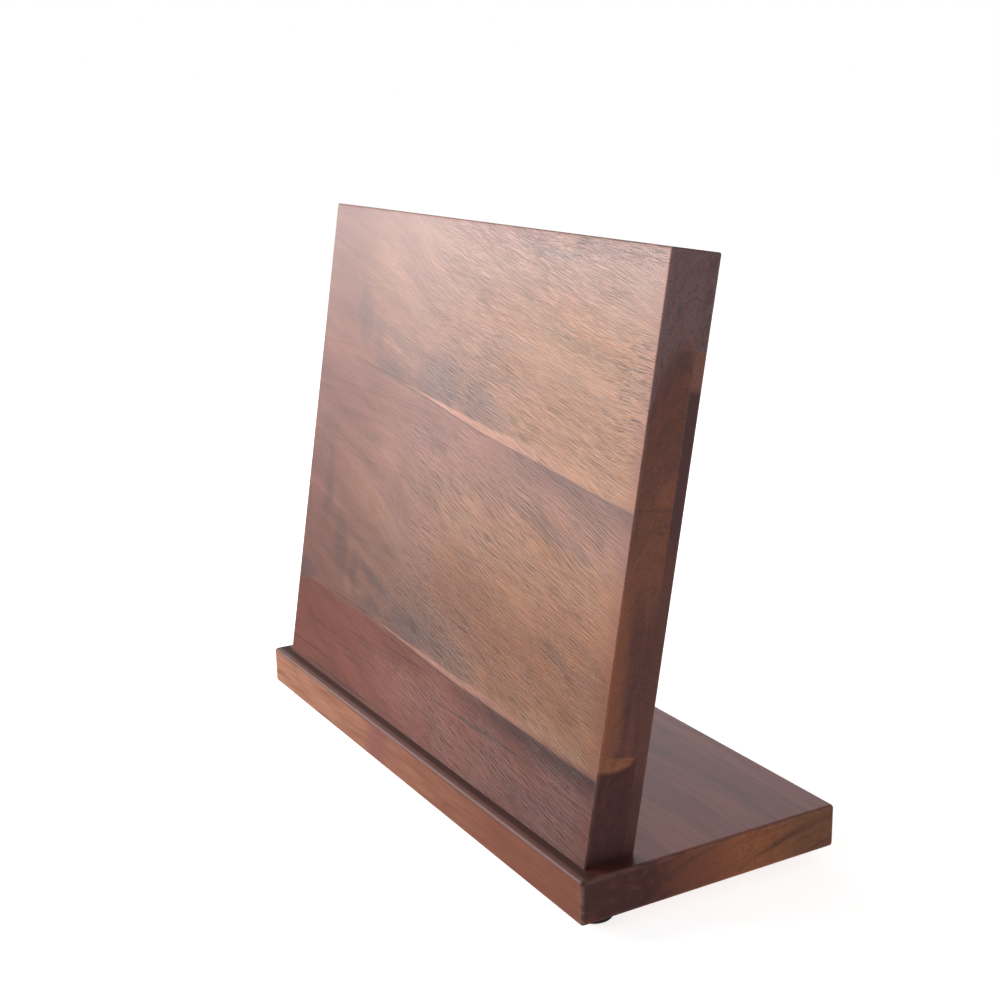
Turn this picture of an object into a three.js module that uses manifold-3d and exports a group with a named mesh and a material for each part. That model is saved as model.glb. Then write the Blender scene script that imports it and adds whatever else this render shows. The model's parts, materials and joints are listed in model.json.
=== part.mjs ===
// Leaning magnetic knife stand: a laminated wooden panel with hidden magnets, screwed and dowelled
// to a wooden base board that stands on four rubber feet.
// Millimetres, +Z up. The origin is at the middle of the footprint, on the surface it stands on.
// +X runs along the panel, and the knife face looks towards -Y.

import * as THREE from "three";
import { mergeVertices } from "three/addons/utils/BufferGeometryUtils.js";
import { RoundedBoxGeometry } from "three/addons/geometries/RoundedBoxGeometry.js";
import Module from "manifold-3d";

const wasm = await Module();
wasm.setup();

// Base board
const baseLength = 300;
const baseDepth = 124;
const baseThickness = 18.5;
const baseRounding = 1.5;

// Panel
const sideMargin = 8; // base left clear at each end of the panel
const frontLedge = 6.5; // base left clear in front of the panel
const panelHeight = 235; // along the knife face
const frontLayer = 17;
const backLayer = 5.5;
const panelLean = THREE.MathUtils.degToRad(9.25);
const panelRounding = 1.2;
const glueLine = 0.3; // left between glued boards, and between the panel and the base

// Boards of each layer, from the top edge down. Those without a height share what the others leave.
const frontBoards = [
  { name: "front_board_top" },
  { name: "front_board_middle" },
  { name: "front_board_bottom", height: 44 },
];
const backBoards = [
  { name: "back_board_top", height: 36 },
  { name: "back_board_upper" },
  { name: "back_board_lower" },
  { name: "back_board_bottom", height: 67 },
];

// Magnets and their steel keepers, in pockets milled from the back of the front layer
const faceWeb = 2.5; // wood left between the magnets and the knives
const magnetCount = 5; // in each row
const magnetWidth = 16;
const magnetSpacing = 12; // wood between two magnets
const rowEndMargin = 18; // wood between a row and the panel's end
const keeperThickness = 1.5;
const keeperLip = 2; // how far a keeper reaches past its magnets
const pocketCorner = 3; // radius of the milling cutter
const magnetChamfer = 0.5;

// Dowels and screws, upright through the base into the lowest front board
const dowelRadius = 4;
const dowelInBase = 12;
const dowelInPanel = 16;
const dowelChamfer = 1;
const dowelSpacing = 110;
const screwLength = 40;
const screwHeadRadius = 4;
const screwHeadSink = 0.6; // head below the base's underside
const screwShankRadius = 1.6;
const screwThreadRadius = 2.2;
const screwThreadPitch = 2.5;
const screwTip = 5;
const screwSpacing = 200; // between the outer two of the three screws
const driveWidth = 1; // cross recess in the screw head
const driveLength = 4.4;
const driveDepth = 1.8;

// Rubber feet
const footRadius = 9;
const footTreadRadius = 7.2; // flat part that rests on the worktop
const footHeight = 6;
const footInset = 15; // from the base's edges to a foot's middle
const backFootInset = 28; // the same at the base's ends for the back feet, which stand further in

// Clearance of everything that sits in a pocket or a hole
const fitGap = 0.3;

// What follows from the sizes above
const panelLength = baseLength - 2 * sideMargin;
const panelThickness = frontLayer + backLayer;
const baseTop = footHeight + baseThickness;
const panelFootY = -baseDepth / 2 + frontLedge;
const magnetLength = (panelLength - 2 * rowEndMargin - (magnetCount - 1) * magnetSpacing) / magnetCount;
const magnetPitch = magnetLength + magnetSpacing;
const keeperLength = panelLength - 2 * rowEndMargin + 2 * keeperLip;
const keeperWidth = magnetWidth + 2 * keeperLip;
const seam = frontLayer - glueLine / 2; // back face of the front layer
const keeperDepth = seam - fitGap - keeperThickness; // front face of a keeper
const magnetDepth = faceWeb + fitGap; // front face of a magnet
const magnetThickness = keeperDepth - fitGap - magnetDepth;
// Fixings stand in the middle of the front layer, halfway up a dowel
const frontLayerMiddle = frontLayer / (2 * Math.cos(panelLean));
const fixingY = panelFootY + frontLayerMiddle + (dowelInPanel / 2) * Math.tan(panelLean);

const steps = 24; // sides of every round piece and hole
const screwSteps = 12; // sides of a screw, which is thin
const roundingSteps = 2;

// ---- solids ----

function toSolid(geometry) {
  const bare = geometry.clone();
  bare.deleteAttribute("normal");
  bare.deleteAttribute("uv");
  const merged = mergeVertices(bare);
  return new wasm.Manifold(
    new wasm.Mesh({
      numProp: 3,
      vertProperties: merged.attributes.position.array,
      triVerts: new Uint32Array(merged.index.array),
    }),
  );
}

function toGeometry(solid) {
  const made = solid.getMesh();
  const geometry = new THREE.BufferGeometry();
  geometry.setAttribute("position", new THREE.BufferAttribute(made.vertProperties, 3));
  geometry.setIndex(new THREE.BufferAttribute(made.triVerts, 1));
  const faceted = geometry.toNonIndexed();
  faceted.computeVertexNormals();
  return faceted;
}

// A box given by its lowest and highest corners.
function boxBetween(low, high) {
  const box = new THREE.BoxGeometry(high.x - low.x, high.y - low.y, high.z - low.z);
  box.translate((low.x + high.x) / 2, (low.y + high.y) / 2, (low.z + high.z) / 2);
  return box;
}

// A body of revolution about the upright axis; the profile runs upwards from [0, z] to [0, z].
function turned(profile, sides = steps) {
  const lathe = new THREE.LatheGeometry(
    profile.map(([radius, z]) => new THREE.Vector2(radius, z)),
    sides,
  );
  return lathe.rotateX(Math.PI / 2);
}

function uprightCylinder(radius, bottom, top) {
  return turned([
    [0, bottom],
    [radius, bottom],
    [radius, top],
    [0, top],
  ]);
}

// A flat plate with rounded corners standing in the panel: x by z, thick along +y from y = front.
function plate(length, width, corner, front, thickness, chamfer = 0) {
  const x = length / 2;
  const z = width / 2;
  const outline = new THREE.Shape();
  outline.moveTo(-x + corner, -z);
  outline.lineTo(x - corner, -z);
  outline.absarc(x - corner, -z + corner, corner, -Math.PI / 2, 0);
  outline.absarc(x - corner, z - corner, corner, 0, Math.PI / 2);
  outline.absarc(-x + corner, z - corner, corner, Math.PI / 2, Math.PI);
  outline.absarc(-x + corner, -z + corner, corner, Math.PI, 1.5 * Math.PI);
  const extruded = new THREE.ExtrudeGeometry(outline, {
    depth: thickness - 2 * chamfer,
    curveSegments: 3,
    bevelEnabled: chamfer > 0,
    bevelThickness: chamfer,
    bevelSize: chamfer,
    bevelOffset: -chamfer,
    bevelSegments: 1,
  });
  return extruded.rotateX(Math.PI / 2).translate(0, front + thickness - chamfer, 0);
}

// From the base's upright frame, centred on the panel's foot, into the leaning panel's own frame.
function intoPanel(geometry) {
  return geometry.translate(0, -panelFootY, -baseTop).rotateX(panelLean);
}

// ---- materials ----

const wood = (colour) => new THREE.MeshStandardMaterial({ color: colour, roughness: 0.42, metalness: 0 });
const magnetFinish = new THREE.MeshStandardMaterial({ color: 0x3a3a3d, roughness: 0.6, metalness: 0.3 });
const steelFinish = new THREE.MeshStandardMaterial({ color: 0xb4b6b8, roughness: 0.35, metalness: 1 });
const dowelFinish = new THREE.MeshStandardMaterial({ color: 0xc9a477, roughness: 0.7, metalness: 0 });
const rubberFinish = new THREE.MeshStandardMaterial({ color: 0x1d1b1a, roughness: 0.8, metalness: 0 });

const stand = new THREE.Group();
const panel = new THREE.Group();
panel.position.set(0, panelFootY, baseTop);
panel.rotation.x = -panelLean;
stand.add(panel);

function addPiece(parent, name, geometry, material) {
  const mesh = new THREE.Mesh(geometry, material);
  mesh.name = name;
  parent.add(mesh);
}

// ---- places of the fixings ----

const dowelPlaces = [
  { name: "dowel_left", x: -dowelSpacing / 2 },
  { name: "dowel_right", x: dowelSpacing / 2 },
];
const screwPlaces = [
  { name: "screw_left", x: -screwSpacing / 2 },
  { name: "screw_middle", x: 0 },
  { name: "screw_right", x: screwSpacing / 2 },
];
const screwBottom = footHeight + screwHeadSink;
const screwHeadHeight = screwHeadRadius - screwShankRadius;

// Every hole is upright, so one set of cutters serves both the base and the leaning panel.
function fixingCutters() {
  const dowels = dowelPlaces.map(({ x }) =>
    uprightCylinder(
      dowelRadius + fitGap,
      baseTop - dowelInBase - fitGap,
      baseTop + dowelInPanel + fitGap,
    ).translate(x, fixingY, 0),
  );
  const screws = screwPlaces.map(({ x }) => {
    const hole = screwThreadRadius + fitGap;
    const sink = screwHeadRadius + fitGap;
    return turned([
      [0, footHeight - 1],
      [sink, footHeight - 1],
      [sink, screwBottom],
      [hole, screwBottom + sink - hole],
      [hole, screwBottom + screwLength],
      [0, screwBottom + screwLength + fitGap],
    ]).translate(x, fixingY, 0);
  });
  return [...dowels, ...screws];
}

// ---- base board ----

const baseBlock = new RoundedBoxGeometry(baseLength, baseDepth, baseThickness, roundingSteps, baseRounding);
baseBlock.translate(0, 0, footHeight + baseThickness / 2);
let base = toSolid(baseBlock);
for (const cutter of fixingCutters()) {
  base = base.subtract(toSolid(cutter));
}
addPiece(stand, "base_board", toGeometry(base), wood(0x6e4636));

// ---- panel slab, before it is divided into boards ----

// The slab runs on below the base's top, and a level cut gives it its slanted foot.
const slabExtra = panelThickness;
const slab = new RoundedBoxGeometry(
  panelLength,
  panelThickness,
  panelHeight + slabExtra,
  roundingSteps,
  panelRounding,
);
slab.translate(0, panelThickness / 2, (panelHeight - slabExtra) / 2);
const belowFoot = intoPanel(
  boxBetween(
    new THREE.Vector3(-baseLength, -baseDepth, baseTop - panelHeight),
    new THREE.Vector3(baseLength, baseDepth, baseTop + glueLine),
  ),
);
const panelSolid = toSolid(slab).subtract(toSolid(belowFoot));

// Cuts one layer, from depth near to depth far, into its boards, each with its place up the panel.
function cutLayer(boards, near, far) {
  const given = boards.filter((board) => board.height);
  const left = panelHeight - given.reduce((sum, board) => sum + board.height, 0);
  const share = left / (boards.length - given.length);
  let top = panelHeight;
  return boards.map(({ name, height }, index) => {
    const bottom = top - (height ?? share);
    const isTop = index === 0;
    const isBottom = index === boards.length - 1;
    const low = new THREE.Vector3(-panelLength, near, isBottom ? -slabExtra : bottom + glueLine / 2);
    const high = new THREE.Vector3(panelLength, far, isTop ? top + 1 : top - glueLine / 2);
    const solid = panelSolid.intersect(toSolid(boxBetween(low, high)));
    const middle = (bottom + top) / 2;
    top = bottom;
    return { name, solid, middle };
  });
}

// ---- front layer, with its magnets and keepers ----

const magnetX = (index) => (index - (magnetCount - 1) / 2) * magnetPitch;

// A row of pockets and the shallow groove for the keeper, open at the seam.
function rowCutters(rowZ) {
  const through = 1;
  const keeperSeat = keeperDepth - fitGap;
  const groove = plate(
    keeperLength + 2 * fitGap,
    keeperWidth + 2 * fitGap,
    pocketCorner + fitGap,
    keeperSeat,
    seam - keeperSeat + through,
  );
  const pockets = [];
  for (let index = 0; index < magnetCount; index += 1) {
    const pocket = plate(
      magnetLength + 2 * fitGap,
      magnetWidth + 2 * fitGap,
      pocketCorner + fitGap,
      faceWeb,
      seam - faceWeb + through,
    );
    pockets.push(pocket.translate(magnetX(index), 0, rowZ));
  }
  return [groove.translate(0, 0, rowZ), ...pockets];
}

function addMagnetRow(row, rowZ) {
  const keeper = plate(keeperLength, keeperWidth, pocketCorner, keeperDepth, keeperThickness);
  addPiece(panel, `steel_keeper_${row}`, keeper.translate(0, 0, rowZ), steelFinish);
  for (let index = 0; index < magnetCount; index += 1) {
    const magnet = plate(
      magnetLength,
      magnetWidth,
      pocketCorner,
      magnetDepth,
      magnetThickness,
      magnetChamfer,
    );
    magnet.translate(magnetX(index), 0, rowZ);
    addPiece(panel, `magnet_${row}_${index + 1}`, magnet, magnetFinish);
  }
}

const magnetRows = { front_board_top: "upper", front_board_middle: "lower" };

for (const { name, solid, middle } of cutLayer(frontBoards, -1, seam)) {
  const cutters = fixingCutters().map(intoPanel);
  const row = magnetRows[name];
  if (row) {
    cutters.push(...rowCutters(middle));
    addMagnetRow(row, middle);
  }
  const board = cutters.reduce((rest, cutter) => rest.subtract(toSolid(cutter)), solid);
  addPiece(panel, name, toGeometry(board), wood(row ? 0xa3735c : 0x7d5046));
}

// ---- back layer ----

for (const { name, solid } of cutLayer(backBoards, frontLayer + glueLine / 2, panelThickness + 1)) {
  addPiece(panel, name, toGeometry(solid), wood(0x5e4034));
}

// ---- dowels ----

for (const { name, x } of dowelPlaces) {
  const bottom = baseTop - dowelInBase;
  const top = baseTop + dowelInPanel;
  const dowel = turned([
    [0, bottom],
    [dowelRadius - dowelChamfer, bottom],
    [dowelRadius, bottom + dowelChamfer],
    [dowelRadius, top - dowelChamfer],
    [dowelRadius - dowelChamfer, top],
    [0, top],
  ]);
  addPiece(stand, name, dowel.translate(x, fixingY, 0), dowelFinish);
}

// ---- screws ----

// Countersunk wood screw standing on its head; the thread is drawn as a row of rings.
function screwProfile() {
  const top = screwBottom + screwLength;
  const threadBottom = screwBottom + screwHeadHeight + 3 * screwThreadPitch;
  const threadTop = top - screwTip;
  const profile = [
    [0, screwBottom],
    [screwHeadRadius, screwBottom],
    [screwShankRadius, screwBottom + screwHeadHeight],
    [screwShankRadius, threadBottom],
  ];
  const turns = Math.floor((threadTop - threadBottom) / screwThreadPitch);
  for (let turn = 0; turn < turns; turn += 1) {
    const root = threadBottom + turn * screwThreadPitch;
    profile.push([screwThreadRadius, root + 0.5 * screwThreadPitch]);
    profile.push([screwShankRadius, root + 0.9 * screwThreadPitch]);
  }
  profile.push([screwShankRadius, threadTop]);
  profile.push([0, top]);
  return profile;
}

for (const { name, x } of screwPlaces) {
  let screw = toSolid(turned(screwProfile(), screwSteps));
  for (const [spanX, spanY] of [
    [driveLength, driveWidth],
    [driveWidth, driveLength],
  ]) {
    const low = new THREE.Vector3(-spanX / 2, -spanY / 2, screwBottom - 1);
    const high = new THREE.Vector3(spanX / 2, spanY / 2, screwBottom + driveDepth);
    screw = screw.subtract(toSolid(boxBetween(low, high)));
  }
  addPiece(stand, name, toGeometry(screw).translate(x, fixingY, 0), steelFinish);
}

// ---- feet ----

// Flat tread, then a quarter of an ellipse up to the full radius against the base.
function footProfile() {
  const arcSteps = 5;
  const profile = [
    [0, 0],
    [footTreadRadius, 0],
  ];
  for (let step = 1; step <= arcSteps; step += 1) {
    const angle = (step / arcSteps) * (Math.PI / 2);
    const radius = footTreadRadius + (footRadius - footTreadRadius) * Math.sin(angle);
    profile.push([radius, footHeight * (1 - Math.cos(angle))]);
  }
  profile.push([0, footHeight]);
  return profile;
}

const frontFootX = baseLength / 2 - footInset;
const backFootX = baseLength / 2 - backFootInset;
const footY = baseDepth / 2 - footInset;
for (const [name, x, y] of [
  ["foot_front_left", -frontFootX, -footY],
  ["foot_front_right", frontFootX, -footY],
  ["foot_back_left", -backFootX, footY],
  ["foot_back_right", backFootX, footY],
]) {
  addPiece(stand, name, turned(footProfile()).translate(x, y, 0), rubberFinish);
}

export default stand;
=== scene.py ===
import json
import math

import bmesh
import bpy
from mathutils import Matrix, Vector


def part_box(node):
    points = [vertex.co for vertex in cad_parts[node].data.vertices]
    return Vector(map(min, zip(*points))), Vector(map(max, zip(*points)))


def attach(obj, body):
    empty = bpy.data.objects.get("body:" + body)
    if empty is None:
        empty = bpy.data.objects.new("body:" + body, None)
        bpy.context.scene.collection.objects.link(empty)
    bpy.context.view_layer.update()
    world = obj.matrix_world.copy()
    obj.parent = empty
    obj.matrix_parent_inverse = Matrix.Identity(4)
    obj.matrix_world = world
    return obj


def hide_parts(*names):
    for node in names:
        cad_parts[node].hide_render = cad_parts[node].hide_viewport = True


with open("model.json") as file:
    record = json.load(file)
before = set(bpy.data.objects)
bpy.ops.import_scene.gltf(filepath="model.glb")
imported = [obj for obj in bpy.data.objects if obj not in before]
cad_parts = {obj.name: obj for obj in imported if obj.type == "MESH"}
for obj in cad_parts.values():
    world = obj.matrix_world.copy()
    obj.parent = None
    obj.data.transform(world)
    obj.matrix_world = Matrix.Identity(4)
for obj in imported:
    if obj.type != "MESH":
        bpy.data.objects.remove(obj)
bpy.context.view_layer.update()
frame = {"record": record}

mm = 0.001
# the smallest distance that counts, and the angle from which an edge is sharp
tiny = 1e-6
creaseAngle = 40
# pieces that touch are this far apart in the frame
frameGap = 0.3 * mm
lacquerIor = 1.5

mountByName = {mount["name"]: mount for mount in frame["record"]["mounts"]}
baseLow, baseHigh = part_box("base_board")
faceAxis = Vector(mountByName["knife_face"]["axis"])
facePoint = Vector(mountByName["knife_face"]["pos_m"])
lean = math.asin(faceAxis.z)
baseTop = baseHigh.z
# where the knife face meets the base
footLine = Vector((0, facePoint.y - (facePoint.z - baseTop) * math.tan(lean), baseTop))
intoPanel = Matrix.Rotation(lean, 4, "X") @ Matrix.Translation(-footLine)
outOfPanel = intoPanel.inverted()


def panelBox(node):
    # a node's lowest and highest corners in the leaning panel's frame: along, deep, up
    corners = [intoPanel @ vertex.co for vertex in bpy.data.objects[node].data.vertices]
    low = Vector([min(corner[axis] for corner in corners) for axis in range(3)])
    high = Vector([max(corner[axis] for corner in corners) for axis in range(3)])
    return low, high


topHigh = panelBox("front_board_top")[1]
panelHalf = topHigh.x
panelHeight = topHigh.z
panelDeep = panelBox("back_board_top")[1].y
seamDeep = (topHigh.y + panelBox("back_board_top")[0].y) / 2
backBoards = ["back_board_top", "back_board_upper", "back_board_lower", "back_board_bottom"]
magnetPlaces = range(1, 6)


def jointDown(upper, lower):
    # how far below the panel's top two boards meet, in millimetres
    return (panelHeight - (panelBox(upper)[0].z + panelBox(lower)[1].z) / 2) / mm


upperJoint = jointDown("front_board_top", "front_board_middle")
lowerJoint = jointDown("front_board_middle", "front_board_bottom")
backJoints = [jointDown(*pair) for pair in zip(backBoards, backBoards[1:])]


class Wire:
    # one socket of a material, ready for sums and products

    def __init__(self, finish, socket):
        self.finish = finish
        self.socket = socket

    def maths(self, operation, *values):
        return self.finish.node("ShaderNodeMath", {"operation": operation}, list(values))

    def __add__(self, other):
        return self.maths("ADD", self, other)

    def __sub__(self, other):
        return self.maths("SUBTRACT", self, other)

    def __mul__(self, other):
        return self.maths("MULTIPLY", self, other)

    def __truediv__(self, other):
        return self.maths("DIVIDE", self, other)

    def __pow__(self, other):
        return self.maths("POWER", self, other)

    def __rsub__(self, other):
        return self.maths("SUBTRACT", other, self)

    __radd__ = __add__
    __rmul__ = __mul__

    def __abs__(self):
        return self.maths("ABSOLUTE", self)

    def fade(self, start, end, low=0.0, high=1.0):
        # smooth step from low to high as the value goes from start to end
        return self.finish.node(
            "ShaderNodeMapRange",
            {"interpolation_type": "SMOOTHSTEP", "clamp": True},
            {"Value": self, "From Min": start, "From Max": end, "To Min": low, "To Max": high},
        )

    def bump(self, middle, spread):
        # 1 at the middle, falling to 0 at spread to either side
        return abs(self - middle).fade(spread, 0)

    def clamped(self):
        return self.finish.node("ShaderNodeClamp", {}, [self, 0.0, 1.0])


class Finish:
    # a material on the Principled shader, written as expressions

    def __init__(self, name, **fixed):
        self.material = bpy.data.materials.new(name)
        self.material.use_nodes = True
        self.tree = self.material.node_tree
        self.shader = self.tree.nodes["Principled BSDF"]
        for socket, value in fixed.items():
            self.shader.inputs[socket.replace("_", " ")].default_value = value

    def node(self, kind, settings, inputs, output=0):
        made = self.tree.nodes.new(kind)
        for key, value in settings.items():
            setattr(made, key, value)
        pairs = inputs.items() if isinstance(inputs, dict) else enumerate(inputs)
        for key, value in pairs:
            self.feed(made.inputs[key], value)
        return Wire(self, made.outputs[output])

    def feed(self, socket, value):
        if isinstance(value, Wire):
            self.tree.links.new(value.socket, socket)
        elif socket.type == "RGBA" and len(value) == 3:
            socket.default_value = (*value, 1.0)
        else:
            socket.default_value = value

    def place(self, origin=(0, 0, 0), turn=0.0):
        # object coordinates in millimetres from an origin, turned about X
        scale = 1 / mm
        start = -(Matrix.Rotation(turn, 3, "X") @ Vector(origin)) * scale
        settings = {"vector_type": "POINT"}
        inputs = {
            "Vector": self.node("ShaderNodeTexCoord", {}, [], "Object"),
            "Location": tuple(start),
            "Rotation": (turn, 0, 0),
            "Scale": (scale, scale, scale),
        }
        moved = self.node("ShaderNodeMapping", settings, inputs)
        return [self.node("ShaderNodeSeparateXYZ", {}, [moved], axis) for axis in range(3)]

    def noise(self, x, y, z, detail, rough):
        # the three places already hold the noise's cycles a millimetre
        inputs = {
            "Vector": self.node("ShaderNodeCombineXYZ", {}, [x, y, z]),
            "Scale": 1.0,
            "Detail": detail,
            "Roughness": rough,
        }
        return self.node("ShaderNodeTexNoise", {"noise_dimensions": "3D"}, inputs)

    def mix(self, amount, first, second, blend="MIX"):
        # colours, first where amount is 0; the node keeps its colour sockets at 6, 7 and 2
        settings = {"data_type": "RGBA", "blend_type": blend, "clamp_factor": True}
        return self.node("ShaderNodeMix", settings, {0: amount, 6: first, 7: second}, 2)

    def times(self, colour, value):
        return self.mix(1.0, colour, self.grey(value), "MULTIPLY")

    def grey(self, value):
        return self.node("ShaderNodeCombineColor", {}, [value, value, value])

    def bumped(self, height, strength, distance):
        inputs = {"Height": height, "Strength": strength, "Distance": distance}
        return self.node("ShaderNodeBump", {}, inputs)

    def clearBehind(self):
        # lets the underside of the object be looked at through the floor
        behind = self.node("ShaderNodeNewGeometry", {}, [], "Backfacing")
        clear = self.node("ShaderNodeBsdfTransparent", {}, [])
        solid = Wire(self, self.shader.outputs[0])
        mixed = self.node("ShaderNodeMixShader", {}, [behind, solid, clear])
        self.tree.links.new(mixed.socket, self.tree.nodes["Material Output"].inputs["Surface"])

    def connect(self, **sockets):
        for socket, wire in sockets.items():
            self.feed(self.shader.inputs[socket.replace("_", " ")], wire)
        return self.material


def spot(x, down, along, below, length, height, slant):
    # 1 at the middle of a slanted oval, fading to 0 at its rim; sizes are half sizes
    across = x - along
    lower = down - below - across * slant
    return ((across / length) ** 2 + (lower / height) ** 2).fade(1, 0)


def newPiece(name, work, material, node):
    # a finished piece at the origin, smooth but for its creases, riding on the stand
    bmesh.ops.recalc_face_normals(work, faces=work.faces)
    mesh = bpy.data.meshes.new(name)
    work.to_mesh(mesh)
    work.free()
    piece = bpy.data.objects.new(name, mesh)
    bpy.context.scene.collection.objects.link(piece)
    piece.data.materials.append(material)
    smoothFaces(piece)
    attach(piece, "root")
    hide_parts(node)
    return piece


def smoothFaces(piece):
    for face in piece.data.polygons:
        face.use_smooth = True
    piece.data.set_sharp_from_angle(angle=math.radians(creaseAngle))


def evenShading(piece):
    # keeps the large faces flat beside their rounded edges
    evened = piece.modifiers.new("evenShading", "WEIGHTED_NORMAL")
    evened.keep_sharp = True
    evened.weight = 100


def blockWork(low, high):
    work = bmesh.new()
    bmesh.ops.create_cube(work, size=1)
    bmesh.ops.scale(work, vec=high - low, verts=work.verts)
    bmesh.ops.translate(work, vec=(low + high) / 2, verts=work.verts)
    return work


def roundEdges(work, chosen, radius, segments):
    edges = [edge for edge in work.edges if chosen(edge)]
    bmesh.ops.bevel(
        work,
        geom=edges,
        offset=radius,
        segments=segments,
        profile=0.5,
        affect="EDGES",
        material=-1,
    )


def plateWork(low, high, corner, cornerSteps, chamfer=0.0, chamferSteps=2):
    # a plate standing in the panel, rounded at its corners and chamfered round both faces
    work = blockWork(low, high)

    def isCorner(edge):
        return abs(edge.verts[0].co.y - edge.verts[1].co.y) > (high.y - low.y) / 2

    def isRim(edge):
        first, second = edge.verts[0].co.y, edge.verts[1].co.y
        isLevel = abs(first - second) < tiny
        return isLevel and min(abs(first - low.y), abs(first - high.y)) < tiny

    roundEdges(work, isCorner, corner, cornerSteps)
    if chamfer:
        roundEdges(work, isRim, chamfer, chamferSteps)
    bmesh.ops.transform(work, matrix=outOfPanel, verts=work.verts)
    return work


def turnedWork(profile, steps, place=(0, 0, 0)):
    # spins a profile of (radius, height) points, closed at the axis, about the upright axis
    work = bmesh.new()
    verts = [work.verts.new((radius, 0, height)) for radius, height in profile]
    edges = [work.edges.new(pair) for pair in zip(verts, verts[1:])]
    bmesh.ops.spin(
        work,
        geom=verts + edges,
        cent=(0, 0, 0),
        axis=(0, 0, 1),
        angle=math.tau,
        steps=steps,
        use_merge=True,
    )
    bmesh.ops.remove_doubles(work, verts=work.verts, dist=tiny)
    bmesh.ops.recalc_face_normals(work, faces=work.faces)
    bmesh.ops.translate(work, vec=place, verts=work.verts)
    return work


def cutterFrom(work):
    bmesh.ops.recalc_face_normals(work, faces=work.faces)
    mesh = bpy.data.meshes.new("cutter")
    work.to_mesh(mesh)
    work.free()
    cutter = bpy.data.objects.new("cutter", mesh)
    bpy.context.scene.collection.objects.link(cutter)
    return cutter


def cutHoles(piece, works):
    cutters = [cutterFrom(work) for work in works]
    for cutter in cutters:
        hole = piece.modifiers.new("hole", "BOOLEAN")
        hole.operation = "DIFFERENCE"
        hole.solver = "EXACT"
        hole.object = cutter
    evaluated = piece.evaluated_get(bpy.context.evaluated_depsgraph_get())
    piece.data = bpy.data.meshes.new_from_object(evaluated)
    piece.modifiers.clear()
    for cutter in cutters:
        bpy.data.objects.remove(cutter)
    smoothFaces(piece)


panelWood = {
    "body": (0.305, 0.147, 0.098),
    "orange": (0.345, 0.146, 0.056),
    "mauve": (0.240, 0.100, 0.088),
    "smoke": (0.158, 0.088, 0.078),
    "dark": (0.078, 0.034, 0.032),
    "salmon": (0.56, 0.260, 0.185),
    "pale": (0.50, 0.240, 0.125),
    "lowerRed": (0.238, 0.066, 0.044),
    "amber": (0.325, 0.100, 0.028),
    # where the figure begins again, and how far down it has moved there
    "secondFrom": (98, 103),
    "secondDrop": 117,
    # pale lines: down at their left end, slope, thickness, strength of the dark band below
    "lineLeft": -44,
    "paleLines": ((78, 0.086, 2.8, 0.45), (192.5, 0.026, 2.4, 0.85)),
    # dark smears above each pale line: along, down, half length, half height, slant, strength
    "smears": (
        (-96, 50, 12, 20, 0.7, 0.6),
        (-79, 60, 8, 14, 0.2, 0.55),
        (-58, 59, 21, 4, 0.36, 0.7),
        (-63, 73, 21, 6, 0.08, 0.75),
        (-16, 71, 26, 10, 0.05, 0.5),
        (26, 78, 30, 9, 0.1, 0.4),
    ),
    # stains that aren't repeated lower down
    "stains": (
        (-134, 188, 16, 8, -0.1, 0.75),
        (-117, 140, 6, 26, 0.0, 0.5),
        (-74, 108, 16, 4, 0.05, 0.4),
        (-122, 112, 16, 14, 0.0, 0.3),
        (70, 8, 46, 2.6, 0.02, 0.55),
        (96, 117, 56, 4.5, 0.17, 0.35),
    ),
    "roughness": 0.45,
    "coat": 0.6,
    "coatRoughness": 0.42,
}

panelEnd = {
    "greyTop": (0.165, 0.095, 0.098),
    "brown": (0.150, 0.052, 0.034),
    "orange": (0.245, 0.075, 0.030),
    "mauve": (0.095, 0.035, 0.034),
    "red": (0.200, 0.056, 0.038),
    "crescent": (0.290, 0.098, 0.038),
    "foot": (0.072, 0.022, 0.022),
    "patch": (0.215, 0.085, 0.062),
    "purple": (0.092, 0.036, 0.037),
    "glue": (0.035, 0.013, 0.012),
}


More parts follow.
